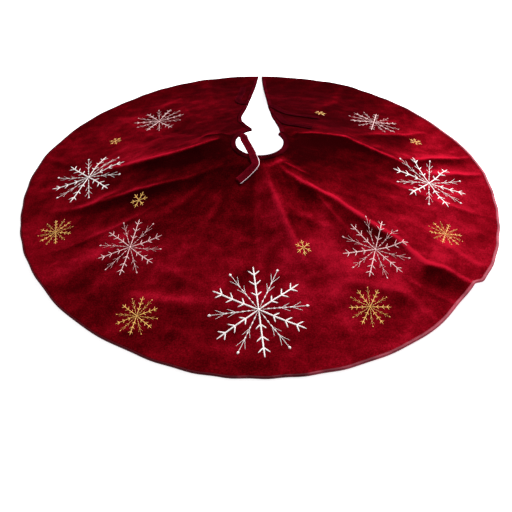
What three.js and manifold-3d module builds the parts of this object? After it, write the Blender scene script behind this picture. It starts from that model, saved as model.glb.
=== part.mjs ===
// A round velvet tree skirt, draped like a low tent round a tree's trunk.
// Millimetres, +Z up. The origin is the centre of the skirt on the floor, the slit opens at the back
// (+Y) and the front of the skirt faces -Y. Bearings are degrees from the front towards +X.
//
// Every layer of cloth follows one grid of rings and columns laid over the draped surface, so the
// layers, bindings and embroidery stay parallel at named gaps.

import * as THREE from 'three';
import { mergeVertices } from 'three/addons/utils/BufferGeometryUtils.js';
import Module from 'manifold-3d';

const wasm = await Module();
wasm.setup();

// ---- driving dimensions ------------------------------------------------------------------------

const HEM_RADIUS = 610; // outside of the hem binding
const HOLE_RADIUS = 60; // inside of the neck binding
const RIM_HEIGHT = 120; // top of the velvet at the neck, above its height at the hem
const FOOT_RADIUS = HEM_RADIUS - 50; // where the tent meets the floor
const TENT_CURVE = 1.25; // 1 is a straight cone, more is a hollow flank

const VELVET_THICKNESS = 2;
const LINING_THICKNESS = 1.2;
const TAPE_THICKNESS = 1.2; // the satin tape of all the bindings
const LAYER_GAP = 0.3; // running clearance between any two layers
const HEM_BAND = 14; // width of each binding on the cloth
const NECK_BAND = 14;
const SLIT_BAND = 12;

const THREAD_RISE = 0.8; // thickness of the embroidery
const TIE_WIDTH = 20;
const TIE_LENGTH = 190;
const TIE_THICKNESS = 1.6;

const FREE_RINGS = 7; // grid lines between the bands
const SECTORS = 5; // the velvet and its hem are modelled in this many sectors, a layer gap apart
const SECTOR_COLUMNS = 9;
const TIE_STEPS = 14;

// The plan tables below are drawn for a hem radius of 610 and follow the hem when it changes.
const PATTERN_SCALE = HEM_RADIUS / 610;

// Half of the slit's opening on each side of the centre line, as [distance from the axis, width].
const SLIT_AT_HEM = [HEM_RADIUS, 5];
const SLIT_LEFT = [
  [HOLE_RADIUS, 20], [HOLE_RADIUS + 15, 21], [HOLE_RADIUS + 98, 49],
  [197 * PATTERN_SCALE, 52], [287 * PATTERN_SCALE, 40], SLIT_AT_HEM,
];
const SLIT_RIGHT = [
  [HOLE_RADIUS, 48], [HOLE_RADIUS + 11, 53], [HOLE_RADIUS + 46, 50],
  [183 * PATTERN_SCALE, 36], [290 * PATTERN_SCALE, 26], SLIT_AT_HEM,
];

// Folds standing over the legs of the tree stand: points [x, y, height of the crest].
const CREST_ROUNDING = 22;
const FOLDS = [
  { width: 42, points: [[-60, 5, 0], [-170, 0, 16], [-300, 0, 14], [-420, 5, 0]] },
  { width: 46, points: [[-60, -55, 0], [-190, -85, 9], [-330, -105, 11], [-520, -140, 0]] },
  { width: 46, points: [[45, -35, 0], [150, -118, 15], [300, -235, 14], [440, -345, 8], [480, -375, 0]] },
  { width: 42, points: [[52, 52, 0], [162, 63, 14], [260, 64, 14], [390, 30, 0]] },
  { width: 34, points: [[10, -62, 0], [30, -150, 8], [60, -320, 0]] },
];

// Embroidered snowflakes: distance from the axis and bearing of each centre, and the span of its arms.
const FLAKE_TURN = 8; // degrees that each flake is turned from the outward direction
const SILVER_LARGE = [[460, 0, 210], [450, -87.5, 198], [443, 85.3, 200]];
const SILVER_MEDIUM = [[411, -44.8, 150], [398, 40.4, 154], [400, -130.8, 152], [428, 126.9, 154]];
const GOLD_MEDIUM = [[531, -66.2, 88], [532, -27.7, 90], [500, 27.3, 90], [493, 62.6, 84]];
const GOLD_SMALL = [
  [328, -61.5, 44], [331, 16.9, 38], [445, -111, 38], [481, 110.4, 40], [313, 145.1, 36],
];

// The first tie starts inside the neck binding and crosses the hole to the front of the skirt. The
// others start on the slit binding, at a distance from the axis. Points are [x, y], and only the y of
// the slit's ties follows the hem.
const NECK_TIE_BEARING = -121;
const NECK_TIE_PATH = [[-38, 10], [-25, -28], [-16, -62], [-10, -90], [-28, -113], [-54, -137]];
const SLIT_TIES = [
  {
    name: 'tie_upper_right',
    side: 1,
    from: 222,
    path: [[52, 200], [57, 172], [63, 140], [80, 113], [108, 99], [140, 90]],
  },
  {
    name: 'tie_lower_right',
    side: 1,
    from: 300,
    path: [[46, 285], [66, 248], [93, 218], [126, 206], [184, 212]],
  },
  {
    name: 'tie_lower_left',
    side: -1,
    from: 336,
    path: [[-58, 340], [-68, 370], [-64, 410], [-58, 460], [-55, 520]],
  },
];

// ---- the draped surface ------------------------------------------------------------------------

const HEM_TOP = TAPE_THICKNESS + LAYER_GAP + LINING_THICKNESS + LAYER_GAP + VELVET_THICKNESS;
const LINING_TOP = -(VELVET_THICKNESS + LAYER_GAP);
const STACK_BOTTOM = LINING_TOP - LINING_THICKNESS;
const EDGE_SETBACK = TAPE_THICKNESS + LAYER_GAP;
const FOLD_END_RADIUS = HEM_RADIUS - 3 * HEM_BAND;

function between(table, at) {
  let i = 1;
  while (i < table.length - 1 && at > table[i][0]) i += 1;
  const [x0, y0] = table[i - 1];
  const [x1, y1] = table[i];
  const share = THREE.MathUtils.clamp((at - x0) / (x1 - x0), 0, 1);
  return y0 + share * (y1 - y0);
}

function foldRise(fold, x, y) {
  let nearest = Infinity;
  let rise = 0;
  for (let i = 1; i < fold.points.length; i += 1) {
    const [ax, ay, az] = fold.points[i - 1];
    const [bx, by, bz] = fold.points[i];
    const lengthSq = (bx - ax) ** 2 + (by - ay) ** 2;
    const along = ((x - ax) * (bx - ax) + (y - ay) * (by - ay)) / lengthSq;
    const share = THREE.MathUtils.clamp(along, 0, 1);
    const off = Math.hypot(x - ax - share * (bx - ax), y - ay - share * (by - ay));
    if (off < nearest) {
      nearest = off;
      rise = az + share * (bz - az);
    }
  }
  const rounded = Math.hypot(nearest, CREST_ROUNDING) - CREST_ROUNDING;
  return rise * Math.exp(-rounded / fold.width);
}

// Height of the velvet's upper face.
function velvetTop(x, y) {
  const r = Math.hypot(x, y);
  const out = THREE.MathUtils.clamp((r - HOLE_RADIUS) / (FOOT_RADIUS - HOLE_RADIUS), 0, 1);
  const folds = FOLDS.reduce((sum, fold) => sum + foldRise(fold, x, y), 0);
  const start = THREE.MathUtils.smoothstep(r, HOLE_RADIUS + NECK_BAND, HOLE_RADIUS + 4 * NECK_BAND);
  const end = 1 - THREE.MathUtils.smoothstep(r, 0.8 * FOLD_END_RADIUS, FOLD_END_RADIUS);
  return HEM_TOP + RIM_HEIGHT * (1 - out) ** TENT_CURVE + folds * start * end;
}

function atBearing(r, degrees) {
  const angle = THREE.MathUtils.degToRad(degrees);
  return [r * Math.sin(angle), -r * Math.cos(angle)];
}

// ---- the grid ----------------------------------------------------------------------------------

// Ring and column numbers at an edge: the fold of the tape, the bottom of the tape's channel, the
// cloth's own edge and the inner line of the band.
const FOLD = 0;
const CHANNEL = 1;
const EDGE = 2;
const BAND = 3;

const rings = [0, TAPE_THICKNESS, EDGE_SETBACK, NECK_BAND].map((inset) => HOLE_RADIUS + inset);
const bandEnd = HEM_RADIUS - HEM_BAND;
for (let i = 1; i <= FREE_RINGS; i += 1) {
  const share = (i / (FREE_RINGS + 1)) ** 1.15;
  rings.push(HOLE_RADIUS + NECK_BAND + share * (bandEnd - HOLE_RADIUS - NECK_BAND));
}
rings.push(bandEnd, HEM_RADIUS - EDGE_SETBACK, HEM_RADIUS - TAPE_THICKNESS, HEM_RADIUS);
const LAST_RING = rings.length - 1;
const COLUMN_STEPS = SECTORS * SECTOR_COLUMNS;
const LAST_COLUMN = COLUMN_STEPS + SECTORS + 2 * BAND - 1;

// Two columns, half a layer gap either side, mark each cut between two sectors.
function columnAngles(r) {
  const left = -Math.PI + Math.asin(between(SLIT_LEFT, r) / r);
  const right = Math.PI - Math.asin(between(SLIT_RIGHT, r) / r);
  const insets = [0, TAPE_THICKNESS, EDGE_SETBACK, SLIT_BAND];
  const angles = insets.map((inset) => left + inset / r);
  const start = left + SLIT_BAND / r;
  const end = right - SLIT_BAND / r;
  for (let i = 1; i < COLUMN_STEPS; i += 1) {
    const angle = start + i / COLUMN_STEPS * (end - start);
    const apart = LAYER_GAP / 2 / r;
    if (i % SECTOR_COLUMNS === 0) angles.push(angle - apart, angle + apart);
    else angles.push(angle);
  }
  return angles.concat(insets.reverse().map((inset) => right - inset / r));
}

const grid = rings.map((r) => columnAngles(r).map((angle) => {
  const x = r * Math.sin(angle);
  const y = -r * Math.cos(angle);
  return new THREE.Vector3(x, y, velvetTop(x, y));
}));

// A point on a grid line, part of the way from ring i to ring i + 1.
function onColumn(i, share, column) {
  if (share === 0) return grid[i][column].clone();
  return grid[i][column].clone().lerp(grid[i + 1][column], share);
}

// Height of the velvet's upper face as the grid's flat facets have it, or null off the cloth.
function facetTop(x, y) {
  const point = new THREE.Vector3(x, y, 0);
  const corner = new THREE.Vector3();
  for (let i = FOLD; i < LAST_RING; i += 1) {
    for (let j = FOLD; j < LAST_COLUMN; j += 1) {
      const a = grid[i][j];
      const c = grid[i + 1][j + 1];
      for (const b of [grid[i + 1][j], grid[i][j + 1]]) {
        const flat = [a, b, c].map((p) => new THREE.Vector3(p.x, p.y, 0));
        THREE.Triangle.getBarycoord(point, ...flat, corner);
        if (corner.x >= 0 && corner.y >= 0 && corner.z >= 0) {
          return corner.x * a.z + corner.y * b.z + corner.z * c.z;
        }
      }
    }
  }
  return null;
}

// ---- closed solids -----------------------------------------------------------------------------

function signedVolume(points, triangles) {
  return triangles.reduce((sum, [a, b, c]) => {
    return sum + points[a].dot(points[b].clone().cross(points[c])) / 6;
  }, 0);
}

function closedGeometry(points, triangles) {
  const inward = signedVolume(points, triangles) < 0;
  const geometry = new THREE.BufferGeometry();
  const positions = points.flatMap((p) => [p.x, p.y, p.z]);
  geometry.setAttribute('position', new THREE.Float32BufferAttribute(positions, 3));
  geometry.setIndex(triangles.flatMap(([a, b, c]) => (inward ? [a, c, b] : [a, b, c])));
  return geometry;
}

function raised(point, offset) {
  return new THREE.Vector3(point.x, point.y, point.z + offset);
}

// A sheet of cloth over part of the grid, between two offsets from the velvet's upper face.
function sheet(firstRing, lastRing, firstColumn, lastColumn, top, bottom) {
  const columns = lastColumn - firstColumn + 1;
  const rows = lastRing - firstRing + 1;
  const points = [];
  for (const offset of [top, bottom]) {
    for (let i = firstRing; i <= lastRing; i += 1) {
      for (let j = firstColumn; j <= lastColumn; j += 1) points.push(raised(grid[i][j], offset));
    }
  }
  const below = rows * columns;
  const at = (i, j) => i * columns + j;
  const triangles = [];
  for (let i = 0; i < rows - 1; i += 1) {
    for (let j = 0; j < columns - 1; j += 1) {
      const [a, b, c, d] = [at(i, j), at(i + 1, j), at(i + 1, j + 1), at(i, j + 1)];
      triangles.push([a, b, c], [a, c, d]);
      triangles.push([a + below, c + below, b + below], [a + below, d + below, c + below]);
    }
  }
  const rim = [];
  for (let i = 0; i < rows; i += 1) rim.push(at(i, 0));
  for (let j = 1; j < columns; j += 1) rim.push(at(rows - 1, j));
  for (let i = rows - 2; i >= 0; i -= 1) rim.push(at(i, columns - 1));
  for (let j = columns - 2; j > 0; j -= 1) rim.push(at(0, j));
  rim.forEach((p, k) => {
    const q = rim[(k + 1) % rim.length];
    triangles.push([p, p + below, q + below], [p, q + below, q]);
  });
  return closedGeometry(points, triangles);
}

// A profile of [line, offset] pairs swept from station to station, with flat ends. Faces split along
// the same diagonal as the cloth, from the lower line to the higher one.
function sweep(profile, stations, place) {
  const size = profile.length;
  const points = stations.flatMap((station) => {
    return profile.map(([line, offset]) => raised(place(station, line), offset));
  });
  const triangles = [];
  for (let s = 0; s < stations.length - 1; s += 1) {
    for (let k = 0; k < size; k += 1) {
      const next = (k + 1) % size;
      const [a, b] = [s * size + k, s * size + next];
      const [c, d] = [a + size, b + size];
      if (profile[k][0] <= profile[next][0]) triangles.push([a, b, d], [a, d, c]);
      else triangles.push([a, b, c], [b, d, c]);
    }
  }
  const outline = profile.map(([line, offset]) => new THREE.Vector2(line * HEM_BAND, offset));
  const cap = THREE.ShapeUtils.triangulateShape(outline, []);
  const last = (stations.length - 1) * size;
  const clockwise = THREE.ShapeUtils.isClockWise(outline);
  for (const [a, b, c] of cap) {
    const face = clockwise ? [c, b, a] : [a, b, c];
    triangles.push(face.slice().reverse(), face.map((p) => p + last));
  }
  return closedGeometry(points, triangles);
}

// The folded tape's section: two lips round the edge of the cloth, open towards the cloth.
function tapeProfile(lines) {
  const upper = LAYER_GAP + TAPE_THICKNESS;
  const lower = STACK_BOTTOM - LAYER_GAP - TAPE_THICKNESS;
  return [
    [lines[BAND], upper],
    [lines[FOLD], upper],
    [lines[FOLD], lower],
    [lines[BAND], lower],
    [lines[BAND], STACK_BOTTOM - LAYER_GAP],
    [lines[CHANNEL], STACK_BOTTOM - LAYER_GAP],
    [lines[CHANNEL], LAYER_GAP],
    [lines[BAND], LAYER_GAP],
  ];
}

function countedFrom(first, step) {
  return [0, 1, 2, 3].map((k) => first + k * step);
}

function ringBinding(lines, firstColumn, lastColumn) {
  const columns = Array.from({ length: lastColumn - firstColumn + 1 }, (_, j) => firstColumn + j);
  return sweep(tapeProfile(lines), columns, (column, ring) => grid[ring][column]);
}

// The slit's tape runs from the neck band to the hem band, a gap clear of both.
function slitBinding(lines) {
  const lastBand = LAST_RING - BAND;
  const startGap = LAYER_GAP / (rings[BAND + 1] - rings[BAND]);
  const endGap = LAYER_GAP / (rings[lastBand] - rings[lastBand - 1]);
  const stations = [[BAND, startGap]];
  for (let i = BAND + 1; i < lastBand; i += 1) stations.push([i, 0]);
  stations.push([lastBand - 1, 1 - endGap]);
  return sweep(tapeProfile(lines), stations, ([ring, share], column) => onColumn(ring, share, column));
}

// ---- embroidery --------------------------------------------------------------------------------

function toSolid(geometry) {
  const bare = geometry.clone();
  bare.deleteAttribute('normal');
  bare.deleteAttribute('uv');
  const merged = mergeVertices(bare, 1e-4);
  return new wasm.Manifold(new wasm.Mesh({
    numProp: 3,
    vertProperties: merged.attributes.position.array,
    triVerts: new Uint32Array(merged.index.array),
  }));
}

function toGeometry(solid) {
  const mesh = solid.getMesh();
  const geometry = new THREE.BufferGeometry();
  geometry.setAttribute('position', new THREE.Float32BufferAttribute(mesh.vertProperties, 3));
  geometry.setIndex(Array.from(mesh.triVerts));
  return geometry;
}

// A straight stitch as a tall bar over the cloth, from one plan point to another.
function stitchBar(x0, y0, x1, y1, width) {
  const along = Math.atan2(y1 - y0, x1 - x0);
  const length = Math.hypot(x1 - x0, y1 - y0);
  const height = 2 * RIM_HEIGHT + 4 * HEM_TOP;
  const bar = new THREE.BoxGeometry(length, width, height);
  bar.rotateZ(along);
  bar.translate((x0 + x1) / 2, (y0 + y1) / 2, 0);
  return toSolid(bar);
}

const threadLayer = toSolid(sheet(EDGE, LAST_RING - EDGE, EDGE, LAST_COLUMN - EDGE,
  LAYER_GAP + THREAD_RISE, LAYER_GAP));

// Long arms cross the centre. Each of the first set carries a chevron that opens outward.
function snowflake([r, bearing, span], arms, width, chevronAt) {
  const [cx, cy] = atBearing(r * PATTERN_SCALE, bearing);
  const reach = span * PATTERN_SCALE / 2;
  const bars = [];
  for (let k = 0; k < arms / 2; k += 1) {
    const [dx, dy] = atBearing(reach, bearing - FLAKE_TURN + k * 360 / arms);
    bars.push(stitchBar(cx - dx, cy - dy, cx + dx, cy + dy, width));
  }
  for (let k = 0; chevronAt > 0 && k < 6; k += 1) {
    const heading = bearing - FLAKE_TURN + k * 60;
    const [px, py] = atBearing(chevronAt * reach, heading);
    for (const side of [-45, 45]) {
      const [bx, by] = atBearing(0.2 * reach, heading + side);
      bars.push(stitchBar(cx + px, cy + py, cx + px + bx, cy + py + by, width));
    }
  }
  const star = bars.reduce((sum, bar) => sum.add(bar));
  return toGeometry(star.intersect(threadLayer));
}

// ---- ties --------------------------------------------------------------------------------------

// Height that a tie's underside needs at a plan point to clear the cloth, the tapes and the stitches.
const TIE_CLEARANCE = TAPE_THICKNESS + 2 * LAYER_GAP;
const ACROSS = [-1, -0.5, 0, 0.5, 1];

// Stations along a tie, which leaves its root square to its stitched end.
function tieStations(start, heading, path) {
  const plan = [start, start.clone().addScaledVector(heading, TIE_WIDTH / 2)];
  plan.push(...path.map(([x, y]) => new THREE.Vector3(x, y, 0)));
  const curve = new THREE.CatmullRomCurve3(plan, false, 'centripetal');
  const share = Math.min(1, TIE_LENGTH / curve.getLength());
  return Array.from({ length: TIE_STEPS + 1 }, (_, k) => {
    const at = share * k / TIE_STEPS;
    const centre = curve.getPointAt(at);
    const along = k === 0 ? heading.clone() : curve.getTangentAt(at);
    const side = new THREE.Vector3(-along.y, along.x, 0).multiplyScalar(TIE_WIDTH / 2);
    return { centre, along, side };
  });
}

// Heights of the underside's two edges at each station: on the cloth where there is cloth below, and
// on a straight line from one resting place to the next over the hole.
function restingHeights(stations, startHeight) {
  const heights = stations.map(({ centre, side }) => {
    return [-1, 1].map((edge) => facetTop(centre.x + edge * side.x, centre.y + edge * side.y));
  });
  if (startHeight) heights[0] = [startHeight, startHeight];
  for (const edge of [0, 1]) {
    const landing = heights.findIndex((pair, k) => k > 0 && pair[edge] !== null);
    const rise = heights[landing][edge] - heights[0][edge];
    for (let k = 1; k < landing; k += 1) heights[k][edge] = heights[0][edge] + k / landing * rise;
  }
  return heights;
}

// Lifts the strap wherever a facet of the cloth comes closer to it than the clearance.
function liftClear(stations, heights) {
  for (let k = 0; k < stations.length - 1; k += 1) {
    let shortfall = 0;
    for (const share of [0, 0.25, 0.5, 0.75, 1]) {
      const centre = stations[k].centre.clone().lerp(stations[k + 1].centre, share);
      const side = stations[k].side.clone().lerp(stations[k + 1].side, share);
      for (const across of ACROSS) {
        const cloth = facetTop(centre.x + across * side.x, centre.y + across * side.y);
        const edges = [0, 1].map((e) => heights[k][e] + share * (heights[k + 1][e] - heights[k][e]));
        const strap = edges[0] + (across + 1) / 2 * (edges[1] - edges[0]);
        if (cloth !== null) shortfall = Math.max(shortfall, cloth + TIE_CLEARANCE - strap);
      }
    }
    for (const pair of [heights[k], heights[k + 1]]) {
      pair[0] += shortfall;
      pair[1] += shortfall;
    }
  }
}

function tie(start, heading, startHeight, path) {
  const stations = tieStations(start, heading, path);
  const heights = restingHeights(stations, startHeight);
  liftClear(stations, heights);
  const points = [];
  stations.forEach(({ centre, side }, k) => {
    const corners = [centre.clone().sub(side), centre.clone().add(side)];
    corners.forEach((corner, e) => points.push(corner.setZ(heights[k][e])));
    corners.forEach((corner) => points.push(raised(corner, TIE_THICKNESS)));
  });
  const around = [0, 1, 3, 2];
  const triangles = [[0, 1, 3], [0, 3, 2]];
  for (let k = 0; k < TIE_STEPS; k += 1) {
    around.forEach((p, e) => {
      const q = around[(e + 1) % 4];
      triangles.push([4 * k + p, 4 * k + 4 + q, 4 * k + q], [4 * k + p, 4 * k + 4 + p, 4 * k + 4 + q]);
    });
  }
  const last = 4 * TIE_STEPS;
  triangles.push([last, last + 3, last + 1], [last, last + 2, last + 3]);
  return closedGeometry(points, triangles);
}

function neckTie() {
  const inside = (HOLE_RADIUS - LAYER_GAP) * Math.cos(Math.PI / COLUMN_STEPS);
  const reach = Math.sqrt(inside ** 2 - (TIE_WIDTH / 2) ** 2);
  const start = new THREE.Vector3(...atBearing(reach, NECK_TIE_BEARING), 0);
  const rim = velvetTop(...atBearing(HOLE_RADIUS, NECK_TIE_BEARING)) + TAPE_THICKNESS + LAYER_GAP;
  const underside = rim + LAYER_GAP - TIE_THICKNESS;
  return tie(start, start.clone().negate().normalize(), underside, NECK_TIE_PATH);
}

function slitEdge(side, from) {
  const x = between(side < 0 ? SLIT_LEFT : SLIT_RIGHT, from);
  return new THREE.Vector3(side * x, Math.sqrt(from ** 2 - x ** 2), 0);
}

function slitTie({ side, from, path }) {
  const root = from * PATTERN_SCALE;
  const edge = slitEdge(side, root + TIE_WIDTH / 2).sub(slitEdge(side, root - TIE_WIDTH / 2)).normalize();
  const heading = new THREE.Vector3(side * edge.y, -side * edge.x, 0);
  const start = slitEdge(side, root).addScaledVector(heading, 2 * TAPE_THICKNESS);
  return tie(start, heading, null, path.map(([x, y]) => [x, y * PATTERN_SCALE]));
}

// ---- materials and the finished skirt ----------------------------------------------------------

function cloth(name, color, roughness, metalness = 0) {
  return new THREE.MeshStandardMaterial({ name, color, roughness, metalness });
}

const velvet = cloth('velvet', 0x6e0a22, 0.85);
const tieVelvet = cloth('tie_velvet', 0x5c0a1c, 0.8);
const liningCloth = cloth('lining_cloth', 0xd9cfe0, 0.75);
const satinTape = cloth('satin_tape', 0x8a1830, 0.45);
const silverThread = cloth('silver_thread', 0xe6dcdc, 0.4, 0.2);
const goldThread = cloth('gold_thread', 0xc99a3c, 0.4, 0.4);

const skirt = new THREE.Group();
skirt.name = 'tree_skirt';

function place(name, geometry, material) {
  const mesh = new THREE.Mesh(geometry, material);
  mesh.name = name;
  skirt.add(mesh);
}

const clothRings = [EDGE, LAST_RING - EDGE];
for (let k = 0; k < SECTORS; k += 1) {
  const start = BAND + k * (SECTOR_COLUMNS + 1);
  const end = start + SECTOR_COLUMNS;
  const isFirst = k === 0;
  const isLast = k === SECTORS - 1;
  const face = sheet(
    ...clothRings, isFirst ? EDGE : start, isLast ? LAST_COLUMN - EDGE : end, 0, -VELVET_THICKNESS,
  );
  const hem = ringBinding(countedFrom(LAST_RING, -1), isFirst ? FOLD : start, isLast ? LAST_COLUMN : end);
  place(`velvet_face_${k + 1}`, face, velvet);
  place(`hem_binding_${k + 1}`, hem, satinTape);
}
const lining = sheet(...clothRings, EDGE, LAST_COLUMN - EDGE, LINING_TOP, STACK_BOTTOM);
place('lining', lining, liningCloth);
place('neck_binding', ringBinding(countedFrom(0, 1), FOLD, LAST_COLUMN), satinTape);
place('slit_binding_left', slitBinding(countedFrom(0, 1)), satinTape);
place('slit_binding_right', slitBinding(countedFrom(LAST_COLUMN, -1)), satinTape);

function placeFlakes(name, list, material, arms, width, chevronAt) {
  list.forEach((spot, i) => place(`${name}_${i + 1}`, snowflake(spot, arms, width, chevronAt), material));
}

placeFlakes('flake_silver_large', SILVER_LARGE, silverThread, 12, 3.2, 0.62);
placeFlakes('flake_silver_medium', SILVER_MEDIUM, silverThread, 12, 2.6, 0.62);
placeFlakes('flake_gold_medium', GOLD_MEDIUM, goldThread, 12, 1.8, 0);
placeFlakes('flake_gold_small', GOLD_SMALL, goldThread, 6, 2, 0);

place('tie_upper_left', neckTie(), tieVelvet);
SLIT_TIES.forEach((spec) => place(spec.name, slitTie(spec), tieVelvet));

export default skirt;
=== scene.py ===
"""A velvet tree skirt lying as a low tent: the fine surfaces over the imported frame.

Metres, +Z up. The skirt is centred on the origin, its front faces -Y and its slit opens towards +Y.
Bearings are degrees from the front towards +X. The cloth is one height over the plan, so every
layer, tape, stitch and ribbon is laid on the same surface.
"""
import math

import bpy
import numpy as np
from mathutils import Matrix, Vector


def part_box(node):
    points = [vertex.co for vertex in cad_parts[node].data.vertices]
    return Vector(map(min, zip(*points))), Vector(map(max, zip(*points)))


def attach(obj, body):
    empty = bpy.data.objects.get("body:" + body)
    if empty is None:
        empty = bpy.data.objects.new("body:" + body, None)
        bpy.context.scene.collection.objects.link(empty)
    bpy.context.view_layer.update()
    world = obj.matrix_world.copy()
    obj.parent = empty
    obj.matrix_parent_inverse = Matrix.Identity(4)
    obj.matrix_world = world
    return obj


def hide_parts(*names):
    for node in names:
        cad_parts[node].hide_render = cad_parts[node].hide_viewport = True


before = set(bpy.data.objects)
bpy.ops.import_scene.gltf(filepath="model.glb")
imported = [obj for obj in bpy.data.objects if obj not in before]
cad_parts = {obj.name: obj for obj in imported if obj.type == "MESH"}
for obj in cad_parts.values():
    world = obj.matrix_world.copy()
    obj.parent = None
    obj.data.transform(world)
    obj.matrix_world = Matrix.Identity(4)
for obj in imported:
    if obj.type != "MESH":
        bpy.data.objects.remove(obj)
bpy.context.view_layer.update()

MM = 0.001
RNG_SEED = 11

# ---- sizes -------------------------------------------------------------------------------------

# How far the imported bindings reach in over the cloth.
HEM_BAND = 14 * MM
NECK_BAND = 14 * MM
SLIT_BAND = 12 * MM

# Read from the frame.
FACE_NODES = sorted(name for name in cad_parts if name.startswith("velvet_face"))
HEM_NODES = sorted(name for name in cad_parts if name.startswith("hem_binding"))
HEM_RADIUS = max(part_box(name)[1].y for name in HEM_NODES)
HOLE_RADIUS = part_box("neck_binding")[1].x - NECK_BAND

# The bare tent: the velvet's height at the hem and at the hole, the radius where it reaches the
# floor's level, and how much it sags between them.
HEM_TOP = 5 * MM
RIM_TOP = 125 * MM
FOOT_RADIUS = 560 * MM
TENT_CURVE = 1.25

# The layers: the velvet's and the lining's thickness, how far the lining lies below the velvet's upper
# face, how far tape stands on it, and the whole stack that tape folds round.
VELVET_THICKNESS = 1.6 * MM
LINING_THICKNESS = 0.5 * MM
LINING_DROP = 2.6 * MM
TAPE_THICKNESS = 0.4 * MM
TAPE_RISE = 1.1 * MM
STACK = 3.5 * MM

# The hem's tape shows this wide at its narrowest and at its widest.
HEM_TAPE_NARROW = 3.4 * MM
HEM_TAPE_WIDE = 6.8 * MM
# The bearing round which it shows widest, and round which a painted highlight makes it lightest.
HEM_TAPE_WIDE_LIT_BEARING = 75

# Half of the slit's opening on each side, in millimetres, as (distance from the axis, width).
SLIT_LEFT = ((60, 20), (75, 21), (158, 49), (197, 52), (287, 40), (610, 5))
SLIT_RIGHT = ((60, 48), (71, 53), (106, 50), (183, 36), (290, 26), (610, 5))

# Folds of the cloth, in millimetres: points (x, y, rise of the crest), the rounding of the crest and
# how far the fold spreads to the left and to the right of its line. A negative rise is a valley. Each
# point is where it seems to lie on the bare tent, and sighted() moves it to where it is.
FOLDS = (
    (((-62, 30, 0), (-100, 31, 18), (-156, 27, 28), (-230, 17, 30), (-286, 10, 27), (-378, 8, 13),
      (-450, 20, 0)), 5, 40, 95),
    (((-62, 41, 3), (-100, 44, 5), (-140, 46, 3), (-165, 46, 0)), 3, 7, 12),
    (((-60, -50, 0), (-103, -84, 5), (-181, -99, 9), (-247, -105, 15), (-305, -105, 17),
      (-374, -123, 14), (-431, -135, 9), (-521, -138, 1)), 4, 30, 60),
    (((-340, -112, 2), (-390, -130, 5), (-450, -151, 1)), 4, 16, 20),
    (((-120, -130, 0), (-194, -186, 4), (-270, -215, 6), (-318, -264, 6), (-370, -307, 7),
      (-422, -346, 6), (-467, -366, 4)), 14, 36, 42),
    (((-226, -338, 3), (-176, -368, 6), (-136, -396, 6), (-94, -422, 3)), 8, 26, 30),
    (((-268, -418, 4), (-188, -435, 7), (-93, -438, 3)), 8, 24, 30),
    (((-306, -509, 1), (-269, -500, 5), (-206, -498, 2)), 3, 18, 22),
    (((-130, 55, 0), (-158, 75, -11), (-235, 161, -14), (-270, 210, -12), (-379, 386, 0)), 5, 40, 34),
    (((-598, 105, 4), (-532, 67, 3), (-490, 50, 0)), 4, 16, 16),
    (((30, -56, 0), (63, -99, 13), (105, -129, 20), (176, -153, 25), (268, -216, 27), (318, -249, 26),
      (376, -316, 24), (416, -324, 21), (483, -365, 19), (520, -392, 16)), 4, 80, 36),
    (((38, -50, 1), (59, -83, 5), (98, -110, 4), (130, -122, 0)), 3, 8, 9),
    (((11, -79, 2), (28, -144, 13), (60, -239, 14), (86, -302, 11), (112, -369, 1)), 5, 60, 26),
    (((32, -184, 0), (76, -219, 5), (148, -250, 6), (196, -263, 4), (250, -280, 0)), 6, 24, 36),
    (((-6, -90, 0), (-12, -150, -8), (-12, -240, -9), (-6, -320, -7), (0, -390, 0)), 6, 24, 46),
    (((193, -383, 3), (268, -395, 7), (320, -407, 8), (349, -445, 7), (374, -477, 3)), 7, 30, 24),
    (((138, -404, -3), (169, -465, -5), (199, -523, -2)), 8, 24, 24),
    (((60, 45, 0), (100, 68, 14), (140, 87, 20), (237, 107, 25), (311, 70, 22), (385, 36, 12),
      (430, 20, 0)), 4, 85, 38),
    (((250, 105, 0), (300, 140, 6), (361, 173, 10), (430, 210, 8), (494, 239, 4)), 6, 36, 24),
    (((387, 45, 5), (467, 85, 13), (551, 109, 11), (602, 122, 6)), 4, 34, 20),
    (((440, 10, 2), (502, 21, 8), (605, 38, 7)), 3, 24, 16),
    (((400, -240, 1), (441, -270, 6), (498, -316, 8)), 6, 26, 22),
    (((-480, 180, 2), (-420, 250, 5), (-330, 330, 6), (-260, 420, 2)), 12, 40, 30),
    (((120, 190, 0), (190, 300, 6), (250, 420, 7), (280, 530, 4)), 12, 40, 36),
    (((-90, 230, 0), (-140, 340, 6), (-170, 480, 6), (-180, 580, 3)), 10, 34, 34),
    (((-150, 120, 0), (-190, 220, 4), (-230, 330, 4), (-260, 430, 0)), 3, 12, 16),
    (((-290, 120, 0), (-350, 200, 4), (-430, 300, 2)), 3, 12, 14),
    (((300, -60, 0), (400, -92, 4), (520, -128, 4), (590, -150, 2)), 3, 14, 16),
    (((60, -84, 0), (128, -170, 5), (186, -240, 5), (226, -300, 0)), 3, 10, 14),
    (((-200, -160, 0), (-300, -212, 3), (-420, -262, 3), (-520, -296, 0)), 3, 12, 14),
    (((-60, -130, 0), (-112, -230, 2), (-140, -330, 0)), 5, 18, 18),
    (((230, -290, 0), (330, -380, 3), (420, -430, 3)), 3, 12, 14),
)

# How softly a fold passes from one stretch of its line to the next, and from one side to the other.
CREST_BLEND = 6 * MM
# A crest's painted highlight is this many times as wide as its rounding, and full where the crest rises
# this high.
CREST_SPREAD = 1.4
CREST_FULL = 12 * MM

# Waves over all of the cloth: height in millimetres, wavelength in metres, and how many cross.
WAVES = ((1.5, 0.19, 9), (0.7, 0.08, 14), (0.22, 0.03, 18))

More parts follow.
